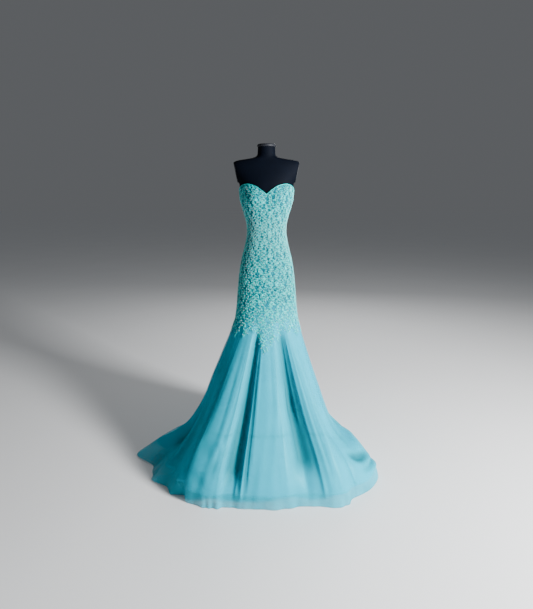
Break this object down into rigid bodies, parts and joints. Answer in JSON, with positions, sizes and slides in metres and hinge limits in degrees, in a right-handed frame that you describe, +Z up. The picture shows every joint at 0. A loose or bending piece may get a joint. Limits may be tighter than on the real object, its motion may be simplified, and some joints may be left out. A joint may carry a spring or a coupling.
{
  "type": "mermaid gown on a limbless dress form",
  "caption": "Strapless mermaid gown with a beaded lace sheath, tulle-over-satin trumpet skirt and swept train, on a limbless dress form with a round base.",
  "frame": {"origin": "centre of the stand base's underside, on the floor", "axes": "+Z up, -Y to the gown's front, +X to the wearer's left"},
  "size_m": [1.239, 1.452, 1.668],
  "materials": {
    "beaded_lace": "beaded applique over net",
    "tulle": "sheer",
    "satin": "satin",
    "zip_tape": "woven",
    "zip_metal": "polished",
    "form_cover": "matt jersey",
    "form_lacquer": "satin lacquer",
    "stand_steel": "powder coat"
  },
  "bodies": {
    "dress": {"sheath_back_left": "beaded_lace", "sheath_front": "beaded_lace", "sheath_back_right": "beaded_lace", "lace_border_back_left": "beaded_lace", "lace_border_left": "beaded_lace", "lace_border_front": "beaded_lace", "lace_border_right": "beaded_lace", "lace_border_back_right": "beaded_lace", "neckline_binding": "beaded_lace", "tulle_back_left": "tulle", "tulle_left": "tulle", "tulle_front": "tulle", "tulle_right": "tulle", "tulle_back_right": "tulle", "satin_back_left": "satin", "satin_left": "satin", "satin_front": "satin", "satin_right": "satin", "satin_back_right": "satin", "flounce_back_left": "satin", "flounce_left": "satin", "flounce_front": "satin", "flounce_right": "satin", "flounce_back_right": "satin", "back_zip": "zip_tape", "zip_slider": "zip_metal", "form_torso": "form_cover", "form_arm_plate_left": "form_lacquer", "form_arm_plate_right": "form_lacquer", "form_neck_cap": "form_lacquer", "stand_base": "stand_steel", "stand_foot_collar": "stand_steel", "stand_pole": "stand_steel", "stand_head_collar": "stand_steel"},
    "pull": {"zip_pull": "zip_metal"}
  },
  "joints": [
    {"name": "zip_pull_hinge", "type": "hinge", "parent": "dress", "child": "pull", "pos_m": [0, 0.10526, 1.352], "axis": [1, 0, 0], "range_deg": [0, 150]}
  ]
}
